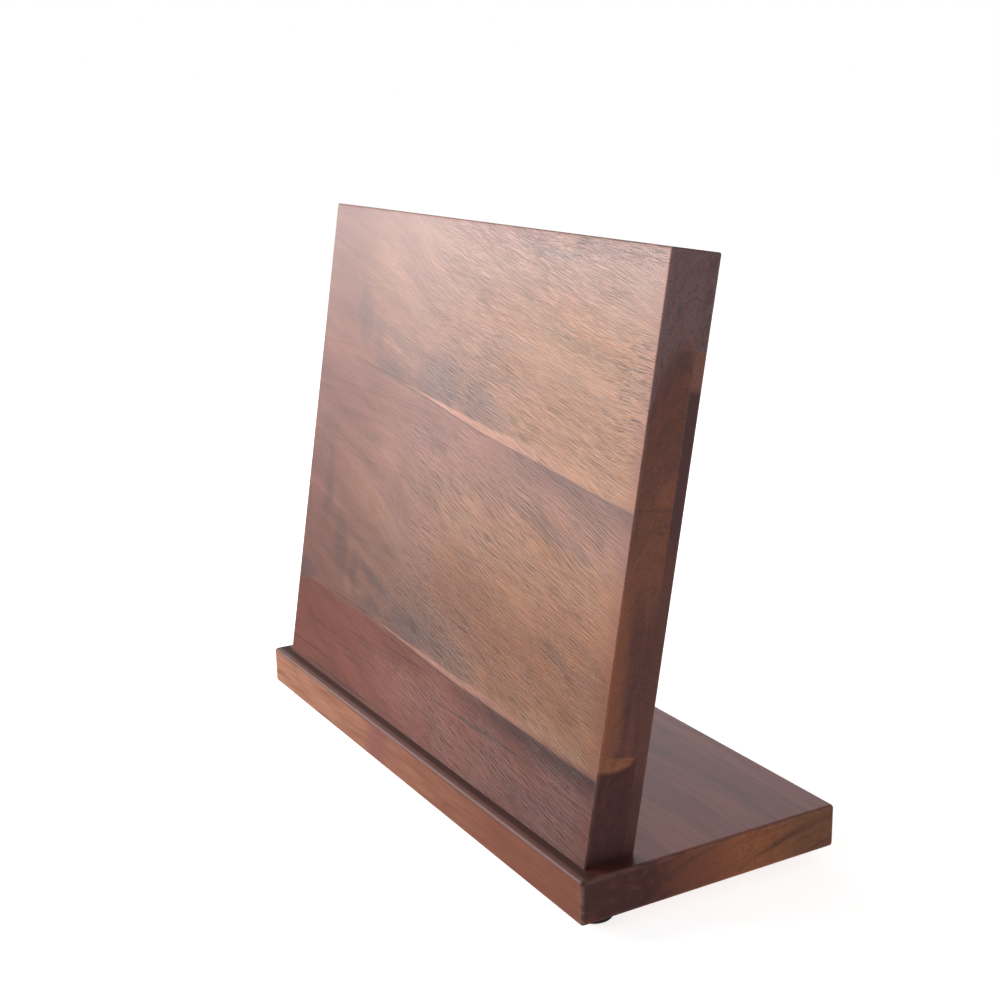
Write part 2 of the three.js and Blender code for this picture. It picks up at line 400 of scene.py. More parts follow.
def panelFigure(finish, x, deep, down):
    # the sawn figure, met twice down the face; the second is cut off by the lowest board
    look = panelWood
    isSecond = down.fade(*look["secondFrom"])
    figure = down - isSecond * (look["secondDrop"] - (x + 100) * 0.05)
    wander = finish.noise(x * 0.03, deep * 0.2, down * 0.06, 2, 0.5) - 0.5
    # the ripples turn steeply down between the middle and the left of each figure
    steep = down.fade(78, 20) + down.fade(100, 135) * down.fade(188, 145)
    curl = down - x * 0.23 - x.fade(-66, -24) * steep * 8 + wander * 3
    rough = (finish.noise(x * 0.10, deep, down * 0.10, 4, 0.7) - 0.5) * 16

    tone = finish.noise(x * 0.016, deep * 0.1, curl * 0.055, 4, 0.6)
    bands = finish.noise(x * 0.010, deep * 0.1, curl * 0.16, 4, 0.65)
    colour = finish.mix(tone.fade(0.36, 0.64) * 0.55, look["body"], look["mauve"])
    colour = finish.mix(bands.fade(0.5, 0.7) * 0.35, colour, look["smoke"])
    colour = finish.mix(bands.fade(0.45, 0.3) * 0.3, colour, look["salmon"])
    warm = x.fade(-50, 105) * down.fade(6, 40) * down.fade(202, 190)
    colour = finish.mix(warm * (tone * 0.7 + 0.3), colour, look["orange"])
    colour = finish.mix(down.bump(164, 46) * x.fade(-70, 50) * 0.65, colour, look["amber"])
    colour = finish.mix(x.fade(-60, -128) * 0.6, colour, look["mauve"])
    colour = finish.mix(x.fade(131, 141) * 0.45, colour, look["lowerRed"])

    first, second = (
        down - below - (x - look["lineLeft"]) * slope + wander * 0.8
        for below, slope, *_ in look["paleLines"]
    )
    colour = finish.mix(first.fade(-1, 5) * first.fade(44, 10) * 0.6, colour, look["mauve"])
    lower = second.fade(-0.5, 3)
    colour = finish.mix(lower * 0.85, colour, look["lowerRed"])
    colour = finish.mix(lower * (x.fade(-10, 135) * 0.35 + 0.12), colour, look["dark"])
    lines = finish.noise(x * 0.006, deep, down * 0.42, 3, 0.65).fade(0.53, 0.68)
    colour = finish.mix(lines * (lower * 0.6 + 0.15), colour, look["dark"])

    # smoky wood above each line, in its left half
    blotch = finish.noise(x * 0.05, deep, curl * 0.09, 4, 0.65).fade(0.38, 0.6)
    for edge in (first, second):
        smoke = edge.fade(-36, -2) * edge.fade(0.6, -0.4) * x.bump(-14, 66)
        colour = finish.mix(smoke * (blotch * 0.5 + 0.3), colour, look["smoke"])
    for along, below, length, height, slant, strength in look["smears"]:
        mark = spot(x + rough, figure + rough * 0.6, along, below, length, height, slant)
        colour = finish.mix(mark * strength, colour, look["smoke"])
    for along, below, length, height, slant, strength in look["stains"]:
        mark = spot(x + rough, down + rough * 0.6, along, below, length, height, slant)
        colour = finish.mix(mark * strength, colour, look["smoke"])

    # each pale line has a sharp upper edge on its left, and a dark band under it further right
    for edge, (*_, thickness, depth) in zip((first, second), look["paleLines"]):
        width = x.fade(-48, 40) * thickness + 0.5
        softness = x.fade(30, 110) * 9 + 0.3
        under = edge - width
        pale = (edge / softness).fade(-1, 0.3) * under.fade(0.3, -0.2) * x.fade(-50, -40)
        light = finish.mix(x.fade(40, 120), look["salmon"], look["pale"])
        colour = finish.mix(pale * x.fade(210, 30) * 0.55, colour, light)
        band = under.fade(-0.9, 1.6) * under.fade(13, 1) * x.fade(16, 86)
        colour = finish.mix(band * depth, colour, look["dark"])
        rim = under.fade(-0.3, 0.1) * under.fade(1.6, 0.2) * x.fade(-120, -20)
        colour = finish.mix(rim * 0.4, colour, look["dark"])
        seam = edge.bump(-0.4, 1.2) * x.fade(-116, -92) * x.fade(-38, -50)
        colour = finish.mix(seam * 0.45, colour, look["dark"])
    colour = finish.mix(down.fade(7, 1.5) * 0.5, colour, look["mauve"])
    return colour, curl, first, second


def panelEndGrain(finish, x, deep, down, row):
    look = panelEnd
    seam = seamDeep / mm
    highBack, middleBack = backJoints[:2]
    warp = finish.noise(deep * 0.06, down * 0.035, row, 4, 0.6) - 0.5
    ring = down - deep * deep * 0.13 + deep * 3.4 + warp * 22
    mottle = finish.noise(deep * 0.35, down * 0.16, row, 5, 0.7)
    colour = finish.mix(ring.fade(46, 74), look["greyTop"], look["brown"])
    colour = finish.mix(ring.bump(64, 9) * 0.55, colour, look["purple"])
    colour = finish.mix(ring.fade(96, 140) * down.fade(60, 100) * 0.55, colour, look["orange"])
    colour = finish.mix(mottle.fade(0.48, 0.66) * 0.6, colour, look["red"])
    colour = finish.mix(mottle.fade(0.48, 0.32) * 0.6, colour, look["purple"])
    core = (deep - down.fade(112, 190) * 2 + warp * 8).fade(3.5, 8) * down.fade(112, 150)
    streaks = finish.noise(deep * 0.45 + warp * 3, down * 0.02, row * 3, 4, 0.65)
    colour = finish.mix(core * (streaks.fade(0.35, 0.6) * 0.5 + 0.4), colour, look["mauve"])
    glowing = (deep + warp * 8).fade(8, 1) * down.fade(108, 140)
    colour = finish.mix(glowing * 0.75, colour, look["orange"])
    colour = finish.mix(spot(deep, down, 14, 90, 7, 8, -0.5) * 0.5, colour, look["orange"])

    # the lowest board, its orange crescent deepest at the face
    lowest = down.fade(lowerJoint - 0.2, lowerJoint + 0.1)
    colour = finish.mix(lowest, colour, look["foot"])
    colour = finish.mix(lowest * mottle.fade(0.45, 0.7) * 0.3, colour, look["red"])
    crescent = 5.6 - (deep / 18) ** 4 * 5.6 - (down - lowerJoint) + warp * 3
    isCrescent = crescent.fade(-1.2, 1.4) * lowest * deep.fade(19, 13)
    colour = finish.mix(isCrescent * (mottle * 0.5 + 0.55), colour, look["crescent"])

    # the back layer
    back = deep.fade(seam - 0.1, seam + 0.1)
    layer = finish.mix(mottle.fade(0.35, 0.65) * 0.6, look["greyTop"], look["mauve"])
    layer = finish.mix(down.fade(highBack - 0.2, highBack + 0.1), layer, look["patch"])
    layer = finish.mix((down + warp * 5).fade(48.5, 52.5), layer, look["purple"])
    layer = finish.mix(down.fade(middleBack - 0.2, middleBack + 0.1), layer, look["mauve"])
    browner = down.fade(middleBack, middleBack + 16) * (mottle * 0.8 + 0.2)
    layer = finish.mix(browner, layer, look["brown"])
    layer = finish.mix(down.fade(196, 205) * 0.5, layer, look["foot"])
    colour = finish.mix(back, colour, layer)
    glow = deep.bump(seam - 0.2, 0.6) * down.fade(34, 40) * down.fade(middleBack, 90)
    colour = finish.mix(glow * 0.35, colour, look["patch"])
    joint = down.bump(lowerJoint - 0.1, 0.3) * deep.fade(16, 22)
    joint = joint + down.bump(upperJoint + 0.1, 0.35)
    colour = finish.mix(joint * deep.fade(seam + 0.2, seam - 0.2) * 0.35, colour, look["glue"])

    pores = finish.noise(x * 0.02, deep * 1.5, down * 1.5, 2, 0.5)
    colour = finish.mix(pores.fade(0.54, 0.68) * 0.45, colour, look["glue"])
    fine = finish.noise(ring * 0.5, deep * 0.05, row, 4, 0.7) - 0.5
    return finish.times(colour, fine * 0.9 + 1.05)


def panelBackColour(finish, x, deep, down, row):
    # the back boards each have a tone of their own
    look = panelWood
    grain = finish.noise(x * 0.012 + row * 7.3, deep * 0.3, down * 0.12, 5, 0.6)
    colour = finish.mix(grain.fade(0.35, 0.65), look["lowerRed"], look["body"])
    tone = finish.noise(row * 5.1, 0.5, 0.5, 1, 0.5) * 1.6 + 0.15
    joint = sum(down.bump(place, 0.35) for place in backJoints)
    return finish.mix(joint * 0.6, finish.times(colour, tone), look["dark"])


def makePanelWood():
    look = panelWood
    finish = Finish(
        "lacqueredPanelWood",
        Coat_Roughness=look["coatRoughness"],
        Coat_IOR=lacquerIor,
        IOR=lacquerIor,
    )
    x, deep, up = finish.place(footLine, lean)
    down = panelHeight / mm - up
    half, thick = panelHalf / mm, panelDeep / mm
    # 0 beside the highest back board, and one more past each joint of that layer
    row = sum(down.fade(place - 0.1, place + 0.1) for place in backJoints)

    colour, curl, first, second = panelFigure(finish, x, deep, down)
    isBack = deep.fade(seamDeep / mm - 0.1, seamDeep / mm + 0.1)
    colour = finish.mix(isBack, colour, panelBackColour(finish, x, deep, down, row))

    # curly figure: fine ripples, stronger in the right half of each board
    ripple = finish.noise(x * 0.055, deep * 0.4, curl * 1.3, 2, 0.5)
    hair = finish.noise(x * 0.11, deep * 0.4, curl * 2.6, 1, 0.5)
    nearLine = first.bump(8, 12) + second.bump(6, 12)
    patchy = finish.noise(x * 0.02, deep * 0.1, curl * 0.05, 2, 0.5).fade(0.3, 0.6)
    strength = x.fade(-90, 30) * x.fade(150, 118) * (1 - nearLine * 0.6)
    strength = strength * (patchy * 0.6 + 0.4) + 0.16
    figured = (0.26 - ripple.fade(0.36, 0.64) * 0.3 - hair.fade(0.34, 0.66) * 0.28) * strength
    fine = (finish.noise(x * 0.014, deep * 2, curl * 1.9, 2, 0.5) - 0.5) * 0.4
    cloud = (finish.noise(x * 0.02, deep * 0.2, curl * 0.10, 3, 0.55) - 0.5) * 0.8
    # painted light and shade: the wood is paler towards the top and darker at the left and low
    # in the middle, following the sheen's fall-off
    shade = down.fade(10, 215, 1.12, 0.93) - x.fade(-40, -125) * 0.16
    shade = shade - down.bump(172, 50) * x.fade(-130, -30, 0.14, 0.24)
    colour = finish.times(colour, (figured + fine + cloud + 1.0) * shade)

    # open pores, most of them near the right end
    pore = finish.noise(x * 0.10, deep * 2, down * 2.3 - x * 0.08, 1, 0.5)
    nearRight = x.fade(104, 132) * down.fade(24, 40) * down.fade(92, 66)
    nearRight = nearRight + x.fade(20, 80) * down.fade(12, 4)
    opened = (pore + nearRight * 0.06).fade(0.64, 0.69) * (nearRight * 0.75 + 0.12)
    colour = finish.mix(opened, colour, look["dark"])

    end = abs(x).fade(half - 1.0, half - 0.3)
    colour = finish.mix(end, colour, panelEndGrain(finish, x, deep, down, row))

    # arrises made paler, partly wear and partly a painted highlight
    nearFace = deep.fade(1.6, 0.2) + deep.fade(thick - 1.6, thick - 0.2)
    nearEnd = abs(x).fade(half - 1.6, half - 0.2)
    nearTop = down.fade(1.6, 0.2)
    arris = (nearFace * nearEnd + nearFace * nearTop + nearEnd * nearTop).clamped()
    rubbedAndHighlit = arris * finish.noise(x * 0.06, deep * 0.5, down * 0.06, 4, 0.7).fade(0.3, 0.6)
    colour = finish.mix(rubbedAndHighlit * 0.12, colour, look["salmon"])

    satin = finish.noise(x * 0.02, deep * 0.2, down * 0.1, 4, 0.6) - 0.5
    roughness = satin * 0.12 + arris * 0.2 + look["roughness"]
    relief = figured * 3 + fine - opened * 2
    # the sheen fades towards the left and the foot
    sheenLess = x.fade(-20, -130) * 0.2 + down.fade(105, 200) * 0.4
    return finish.connect(
        Base_Color=colour,
        Roughness=roughness,
        Coat_Weight=(look["coat"] - arris * 0.3 - sheenLess).clamped(),
        Normal=finish.bumped(relief, 0.5, 0.2 * mm),
    )


baseWood = {
    "heart": (0.420, 0.115, 0.115),
    "pale": (0.610, 0.215, 0.200),
    "mauve": (0.230, 0.080, 0.092),
    "dark": (0.060, 0.026, 0.024),
    # painted shade and reflection for the strip in front of the panel
    "ledgeShade": (0.050, 0.010, 0.005),
    "frontPale": (0.442, 0.210, 0.131),
    "frontDeep": (0.185, 0.058, 0.037),
    "salmon": (0.480, 0.230, 0.170),
    # painted shade for the underside
    "under": (0.170, 0.075, 0.050),
    "endPurple": (0.080, 0.026, 0.025),
    "endRed": (0.205, 0.062, 0.034),
    "endOrange": (0.340, 0.108, 0.038),
    "endOlive": (0.230, 0.092, 0.042),
    # dark streaks along the top: across from the front, half width, strength
    "streaks": ((95, 4.5, 0.6), (110, 3.2, 0.5), (74, 3.0, 0.3), (58, 4.0, 0.2)),
    "roughness": 0.33,
    "coat": 0.5,
    "coatRoughness": 0.26,
}


def makeBaseWood():
    look = baseWood
    finish = Finish(
        "lacqueredBaseWood",
        Coat_Roughness=look["coatRoughness"],
        Coat_IOR=lacquerIor,
        IOR=lacquerIor,
    )
    x, y, z = finish.place()
    half, front, top, under = (v / mm for v in (baseHigh.x, baseHigh.y, baseHigh.z, baseLow.z))
    across = y + front
    high = z - under
    wander = finish.noise(x * 0.012, y * 0.05, z * 0.05, 3, 0.5) - 0.5
    bent = across + wander * 16

    grain = finish.noise(x * 0.007, bent * 0.09, z * 0.14, 5, 0.6)
    colour = finish.mix(grain.fade(0.36, 0.66), look["heart"], look["pale"])
    for middle, width, strength in look["streaks"]:
        broken = finish.noise(x * 0.02, middle, y * 0.1, 3, 0.6).fade(0.32, 0.55)
        colour = finish.mix(bent.bump(middle, width) * broken * strength, colour, look["mauve"])
    hairlines = finish.noise(x * 0.008, bent * 0.6, 0.5, 3, 0.6).fade(0.5, 0.7)
    colour = finish.mix(hairlines * 0.35, colour, look["mauve"])
    # painted shade: the underside is made darker brown
    colour = finish.mix(high.fade(0.8, 0.2) * 0.85, colour, look["under"])

    # the strip in front of the panel and the margin next to its foot are painted dark, darkest
    # at the panel: painted shade and painted reflection of the panel
    isTop = z.fade(top - 1, top - 0.2)
    ledgeShade = across.fade(9, 6.8) * across.fade(0.8, 4.0) * isTop
    colour = finish.mix(across.fade(9, 6.8), colour, look["frontDeep"])
    colour = finish.mix(ledgeShade, colour, look["ledgeShade"])
    besideFootShade = abs(x).fade(half - 10, half - 7) * across.fade(36, 26) * across.fade(0.8, 5)
    colour = finish.mix(besideFootShade * isTop * 0.85, colour, look["ledgeShade"])

    # front edge, paler towards the left, with one purple patch
    isFront = across.fade(1.4, 0.2) * high.fade(18.4, 16.8)
    wavy = finish.noise(x * 0.03, across * 0.1, high * 0.7 + wander * 5, 4, 0.6)
    edgeColour = finish.mix(x.fade(-150, 145) * 0.85, look["frontPale"], look["frontDeep"])
    edgeColour = finish.mix(wavy.fade(0.4, 0.62) * 0.5, edgeColour, look["frontDeep"])
    streaks = finish.noise(x * 0.02, across * 0.1, high * 1.5, 3, 0.6)
    edgeColour = finish.mix(streaks.fade(0.5, 0.66) * 0.4, edgeColour, look["frontDeep"])
    patch = spot(x + wander * 20, high, -26, 9, 15, 14, 0.2)
    edgeColour = finish.mix(patch * 0.55, edgeColour, look["mauve"])
    colour = finish.mix(isFront, colour, edgeColour)
    # painted shade: the front top arris is darkened where its highlight would show
    frontArrisShade = across.fade(2.6, 1.0) * high.fade(16.2, 17.8)
    colour = finish.mix(frontArrisShade * 0.45, colour, look["ledgeShade"])

    isBack = across.fade(2 * front - 1.4, 2 * front - 0.4)
    colour = finish.mix(isBack * 0.6, colour, look["endRed"])

    # end grain, purple at the front through orange to olive at the back
    swirl = (finish.noise(y * 0.04, z * 0.08, half, 3, 0.5) - 0.5) * 12
    ended = finish.mix(across.fade(28, 52), look["endPurple"], look["endRed"])
    ended = finish.mix(across.fade(50, 80), ended, look["endOrange"])
    ended = finish.mix(across.fade(84, 112), ended, look["endOlive"])
    ring = high - across * 0.42 + across * across * 0.0011 + swirl * 0.35
    arcs = finish.noise(ring * 0.34, across * 0.012, 0.3, 5, 0.7).fade(0.46, 0.68)
    ended = finish.mix(arcs * (1 - across.bump(62, 26) * 0.5) * 0.75, ended, look["dark"])
    mottle = finish.noise(y * 0.22, z * 0.3, 0.7, 5, 0.7)
    ended = finish.mix(mottle.fade(0.48, 0.68) * 0.45, ended, look["endRed"])
    ended = finish.mix(mottle.fade(0.46, 0.3) * 0.4, ended, look["endPurple"])
    speck = finish.noise(x * 0.05, y * 1.3, z * 1.3, 2, 0.5)
    ended = finish.mix(speck.fade(0.55, 0.70) * 0.45, ended, look["dark"])
    end = abs(x).fade(half - 1.4, half - 0.4)
    colour = finish.mix(end, colour, ended)

    fine = (finish.noise(x * 0.03, y * 1.2, z * 1.2, 3, 0.6) - 0.5) * 0.36
    colour = finish.times(colour, fine + 1.0)
    pore = finish.noise(x * 0.12, y * 1.1, z * 1.1, 1, 0.5).fade(0.65, 0.72) * 0.3
    colour = finish.mix(pore, colour, look["dark"])

    nearLong = across.fade(2, 0.3) + across.fade(2 * front - 2, 2 * front - 0.3)
    nearEnd = abs(x).fade(half - 2, half - 0.3)
    nearFlat = high.fade(2, 0.3) + z.fade(top - 2, top - 0.3)
    arris = (nearLong * nearEnd + nearLong * nearFlat + nearEnd * nearFlat).clamped()
    # arrises made paler, partly wear and partly a painted highlight, but not on the front top
    # arris
    rubbedAndHighlit = arris * finish.noise(x * 0.07, y * 0.07, z * 0.5, 4, 0.7).fade(0.3, 0.6)
    colour = finish.mix(rubbedAndHighlit * (1 - frontArrisShade) * 0.3, colour, look["salmon"])
    roughness = (grain - 0.5) * 0.12 + arris * 0.3 + ledgeShade * 0.3 + look["roughness"]
    return finish.connect(
        Base_Color=colour,
        Roughness=roughness,
        Coat_Weight=(look["coat"] - arris * 0.4 - ledgeShade * 0.5 - isFront * 0.3).clamped(),
        Normal=finish.bumped(fine - pore * 2, 0.15, 0.2 * mm),
    )


boards = {
    "glueLine": 0.0,
    "rounding": 0.8 * mm,
    "roundingSegments": 4,
    "boardNames": {
        "front_board_top": "faceBoardTop",
        "front_board_middle": "faceBoardMiddle",
        "front_board_bottom": "faceBoardBottom",
        "back_board_top": "backBoardTop",
        "back_board_upper": "backBoardUpper",
        "back_board_lower": "backBoardLower",
        "back_board_bottom": "backBoardBottom",
    },
}

fits = {
    "gap": frameGap,
    "pocketCorner": 3.3 * mm,
    "pocketSteps": 5,
    "holeSteps": 32,
    "screwHole": 2.5 * mm,
}

fixingY = sum(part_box("dowel_left")[corner].y for corner in (0, 1)) / 2
dowelNodes = {"dowel_left": "dowelLeft", "dowel_right": "dowelRight"}
screwNodes = {
    "screw_left": "screwLeft",
    "screw_middle": "screwMiddle",
    "screw_right": "screwRight",
}


def middleX(node):
    low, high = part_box(node)
    return (low.x + high.x) / 2


def fixingHoles():
    # upright holes that run through the base into the lowest face board
    gap, works = fits["gap"], []
    for node in dowelNodes:
        low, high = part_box(node)
        radius = (high.x - low.x) / 2 + gap
        bottom, top = low.z - gap, high.z + gap
        profile = [(0, bottom), (radius, bottom), (radius, top), (0, top)]
        works.append(turnedWork(profile, fits["holeSteps"], (middleX(node), fixingY, 0)))
    for node in screwNodes:
        low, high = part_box(node)
        sink, hole = (high.x - low.x) / 2 + gap, fits["screwHole"]
        profile = [(0, baseLow.z - mm), (sink, baseLow.z - mm), (sink, low.z)]
        profile += [(hole, low.z + sink - hole), (hole, high.z), (0, high.z + gap)]
        works.append(turnedWork(profile, fits["holeSteps"], (middleX(node), fixingY, 0)))
    return works


def seatWork(node):
    # the recess for a keeper or a magnet, open at the seam behind it
    low, high = panelBox(node)
    gap = Vector((fits["gap"], fits["gap"], fits["gap"]))
    low, high = low - gap, high + gap
    high.y = seamDeep + mm
    return plateWork(low, high, fits["pocketCorner"], fits["pocketSteps"])


def makeBoard(node, name, material):
    low, high = panelBox(node)
    gap = boards["glueLine"] / 2
    isFront = node.startswith("front")
    isTop = high.z > panelHeight - mm
    isFoot = node.endswith("bottom")
    # joints close up to the glue line; the outer faces keep the frame's place
    grow = frameGap / 2 - gap
    if isFront:
        high.y = seamDeep - gap
    else:
        low.y = seamDeep + gap
    if not isTop:
        high.z += grow
    # the lowest boards start below the base's top and are cut off level with it
    low.z = -panelDeep if isFoot else low.z - grow
    work = blockWork(low, high)

    def isOuter(edge):
        middle = (edge.verts[0].co + edge.verts[1].co) / 2
        atEnd = abs(abs(middle.x) - panelHalf) < mm
        atTop = isTop and abs(middle.z - high.z) < mm
        atFace = abs(middle.y - (low.y if isFront else high.y)) < mm
        return (atEnd + atTop + atFace) >= 2

    roundEdges(work, isOuter, boards["rounding"], boards["roundingSegments"])
    bmesh.ops.transform(work, matrix=outOfPanel, verts=work.verts)
    if isFoot:
        geometry = work.verts[:] + work.edges[:] + work.faces[:]
        seat = Vector((0, 0, baseTop + boards["glueLine"]))
        cut = bmesh.ops.bisect_plane(
            work, geom=geometry, plane_co=seat, plane_no=(0, 0, -1), clear_outer=True
        )
        rim = [item for item in cut["geom_cut"] if isinstance(item, bmesh.types.BMEdge)]
        bmesh.ops.contextual_create(work, geom=rim)
    piece = newPiece(name, work, material, node)
    if node in magnetRows:
        row = magnetRows[node]
        magnets = [f"magnet_{row}_{place}" for place in magnetPlaces]
        cutHoles(piece, [seatWork(inset) for inset in [f"steel_keeper_{row}", *magnets]])
    if node == "front_board_bottom":
        cutHoles(piece, fixingHoles())
    evenShading(piece)


magnetRows = {"front_board_top": "upper", "front_board_middle": "lower"}
panelMaterial = makePanelWood()
for node, name in boards["boardNames"].items():
    makeBoard(node, name, panelMaterial)
print("stage: panel boards made")

baseBoard = {"rounding": 1.5 * mm, "roundingSegments": 5}


def makeBase():
    work = blockWork(baseLow, baseHigh)
    roundEdges(work, lambda edge: True, baseBoard["rounding"], baseBoard["roundingSegments"])
    piece = newPiece("baseBoard", work, makeBaseWood(), "base_board")
    cutHoles(piece, fixingHoles())
    evenShading(piece)


makeBase()
print("stage: base board made")

keeperLook = {
    "steel": (0.56, 0.57, 0.58),
    "stain": (0.30, 0.27, 0.24),
    "roughness": 0.34,
    "corner": 3 * mm,
    "cornerSteps": 6,
    "chamfer": 0.2 * mm,
}


def makeKeeperSteel():
    look = keeperLook
    finish = Finish("rolledSteel", Metallic=1.0)
    x, deep, up = finish.place(footLine, lean)
    rolled = finish.noise(x * 0.03, deep, up * 4, 4, 0.6)
    stain = finish.noise(x * 0.06, deep, up * 0.09, 4, 0.65).fade(0.5, 0.68)
    colour = finish.mix(rolled.fade(0.3, 0.7) * 0.3, look["steel"], look["stain"])
    colour = finish.mix(stain * 0.6, colour, look["stain"])
    roughness = rolled * 0.14 + stain * 0.2 + (look["roughness"] - 0.07)
    return finish.connect(
        Base_Color=colour,
        Roughness=roughness,
        Normal=finish.bumped(rolled - stain, 0.15, 0.1 * mm),
    )


def makeKeepers():
    look = keeperLook
    material = makeKeeperSteel()
    for row, name in (("upper", "keeperUpper"), ("lower", "keeperLower")):
        node = f"steel_keeper_{row}"
        low, high = panelBox(node)
        work = plateWork(low, high, look["corner"], look["cornerSteps"], look["chamfer"])
        evenShading(newPiece(name, work, material, node))


makeKeepers()
print("stage: keeper strips made")

magnetLook = {
    "nickel": (0.60, 0.585, 0.55),
    "worn": (0.33, 0.32, 0.31),
    "roughness": 0.22,
    "corner": 3 * mm,
    "cornerSteps": 6,
    "chamfer": 0.5 * mm,
}


def makeNickel():
    look = magnetLook
    finish = Finish("nickelPlate", Metallic=1.0)
    x, deep, up = finish.place(footLine, lean)
    scratch = finish.noise(x * 0.5 + up * 1.9, deep * 2, up * 0.12 - x * 0.03, 2, 0.6)
    scratch = scratch.fade(0.62, 0.7)
    cloud = finish.noise(x * 0.1, deep * 0.3, up * 0.1, 4, 0.6)
    wear = cloud.fade(0.42, 0.7) * 0.4 + scratch * 0.4
    colour = finish.mix(wear, look["nickel"], look["worn"])
    roughness = cloud * 0.2 + scratch * 0.2 + (look["roughness"] - 0.1)
    return finish.connect(
        Base_Color=colour,
        Roughness=roughness,
        Normal=finish.bumped(cloud * 0.3 - scratch, 0.1, 0.1 * mm),
    )


def makeMagnets():
    look = magnetLook
    material = makeNickel()
    for row, part in (("upper", "magnetUpper"), ("lower", "magnetLower")):
        for place in magnetPlaces:
            node = f"magnet_{row}_{place}"
            low, high = panelBox(node)
            work = plateWork(low, high, look["corner"], look["cornerSteps"], look["chamfer"])
            evenShading(newPiece(f"{part}{place}", work, material, node))


makeMagnets()
print("stage: magnets made")

dowelLook = {
    "beech": (0.56, 0.36, 0.21),
    "dark": (0.33, 0.18, 0.095),
    "flutes": 16,
    "fluteDepth": 0.25 * mm,
    "chamfer": 1.0 * mm,
    "pointsPerFlute": 4,
}


def makeDowelWood():
    look = dowelLook
    finish = Finish("beechDowel")
    x, y, z = finish.place()
    grain = finish.noise(x * 1.4, y * 1.4, z * 0.06, 4, 0.6)
    fleck = finish.noise(x * 2.2, y * 2.2, z * 0.5, 1, 0.5).fade(0.6, 0.68)
    colour = finish.mix(grain.fade(0.35, 0.7) * 0.6 + fleck * 0.35, look["beech"], look["dark"])
    return finish.connect(
        Base_Color=colour,
        Roughness=grain * 0.2 + 0.5,
        Normal=finish.bumped(grain - fleck, 0.25, 0.1 * mm),
    )


def makeDowels():
    look = dowelLook
    material = makeDowelWood()
    count = look["flutes"] * look["pointsPerFlute"]
    for node, name in dowelNodes.items():
        low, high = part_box(node)
        outer, chamfer = (high.x - low.x) / 2, look["chamfer"]
        rings = [(low.z, chamfer), (low.z + chamfer, 0)]
        rings += [(high.z - chamfer, 0), (high.z, chamfer)]
        work = bmesh.new()
        made = bmesh.ops.create_circle(work, cap_ends=True, segments=count, radius=outer)
        for place, vert in enumerate(made["verts"]):
            isGroove = place % look["pointsPerFlute"] == look["pointsPerFlute"] // 2
            vert.co *= 1 - look["fluteDepth"] / outer * isGroove
        profile = [vert.co.copy() for vert in made["verts"]]
        face = work.faces[:]
        for (height, inset), following in zip(rings, rings[1:] + [None]):
            ring = [vert for vert in face[0].verts] if face else []
            for vert in ring:
                direction = Vector((vert.co.x, vert.co.y, 0)).normalized()
                full = min(profile, key=lambda point: (point.normalized() - direction).length)
                vert.co = full - direction * inset + Vector((0, 0, height))
            if following:
                grown = bmesh.ops.extrude_face_region(work, geom=face)
                face = [item for item in grown["geom"] if isinstance(item, bmesh.types.BMFace)]
        bmesh.ops.translate(work, vec=(middleX(node), fixingY, 0), verts=work.verts)
        newPiece(name, work, material, node)


makeDowels()
print("stage: dowels made")

screwLook = {
    "steel": (0.50, 0.50, 0.49),
    "dull": (0.22, 0.20, 0.18),
    "shank": 1.6 * mm,
    "thread": 2.2 * mm,
    "pitch": 2.5 * mm,
    "tip": 5 * mm,
    "plainTurns": 3,
    # where a turn's crest starts and ends and its root begins, as shares of the pitch
    "crestFrom": 0.45,
    "crestTo": 0.53,
    "rootFrom": 0.95,
    "steps": 32,
    "driveLength": 4.4 * mm,
    "driveWidth": 1.0 * mm,
    "driveDepth": 1.8 * mm,
    "headEdge": 0.25 * mm,
}


def makeScrewSteel():
    look = screwLook
    finish = Finish("zincScrew", Metallic=1.0)
    x, y, z = finish.place()
    blotch = finish.noise(x * 0.8, y * 0.8, z * 0.5, 4, 0.6)
    turned = finish.noise(x * 0.3, y * 0.3, z * 6, 2, 0.5)
    colour = finish.mix(blotch.fade(0.42, 0.68) * 0.6, look["steel"], look["dull"])
    return finish.connect(
        Base_Color=colour,
        Roughness=blotch * 0.25 + turned * 0.1 + 0.2,
        Normal=finish.bumped(turned + blotch, 0.15, 0.05 * mm),
    )


def makeScrews():
    look = screwLook
    material = makeScrewSteel()
    for node, name in screwNodes.items():
        low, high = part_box(node)
        head, shank, pitch = (high.x - low.x) / 2, look["shank"], look["pitch"]
        start = low.z + head - shank + look["plainTurns"] * pitch
        end = high.z - look["tip"]
        headEdge, thread = look["headEdge"], look["thread"]
        profile = [(0, low.z), (head - headEdge, low.z), (head, low.z + headEdge / 2)]
        profile += [(shank, low.z + head - shank), (shank, start)]
        for turn in range(int((end - start) / pitch)):
            root = start + turn * pitch
            profile.append((thread, root + look["crestFrom"] * pitch))
            profile.append((thread, root + look["crestTo"] * pitch))
            profile.append((shank, root + look["rootFrom"] * pitch))
        profile += [(shank, end), (0, high.z)]
        middle = Vector((middleX(node), fixingY, 0))
        work = turnedWork(profile, look["steps"], middle)
        piece = newPiece(name, work, material, node)
        # the cross recess is two slots at right angles
        bottom, top = Vector((0, 0, low.z - mm)), Vector((0, 0, low.z + look["driveDepth"]))
        reach = Vector((look["driveLength"] / 2, look["driveWidth"] / 2, 0))
        slots = [
            blockWork(middle - half + bottom, middle + half + top)
            for half in (reach, reach.yxz)
        ]
        cutHoles(piece, slots)


makeScrews()
print("stage: screws made")

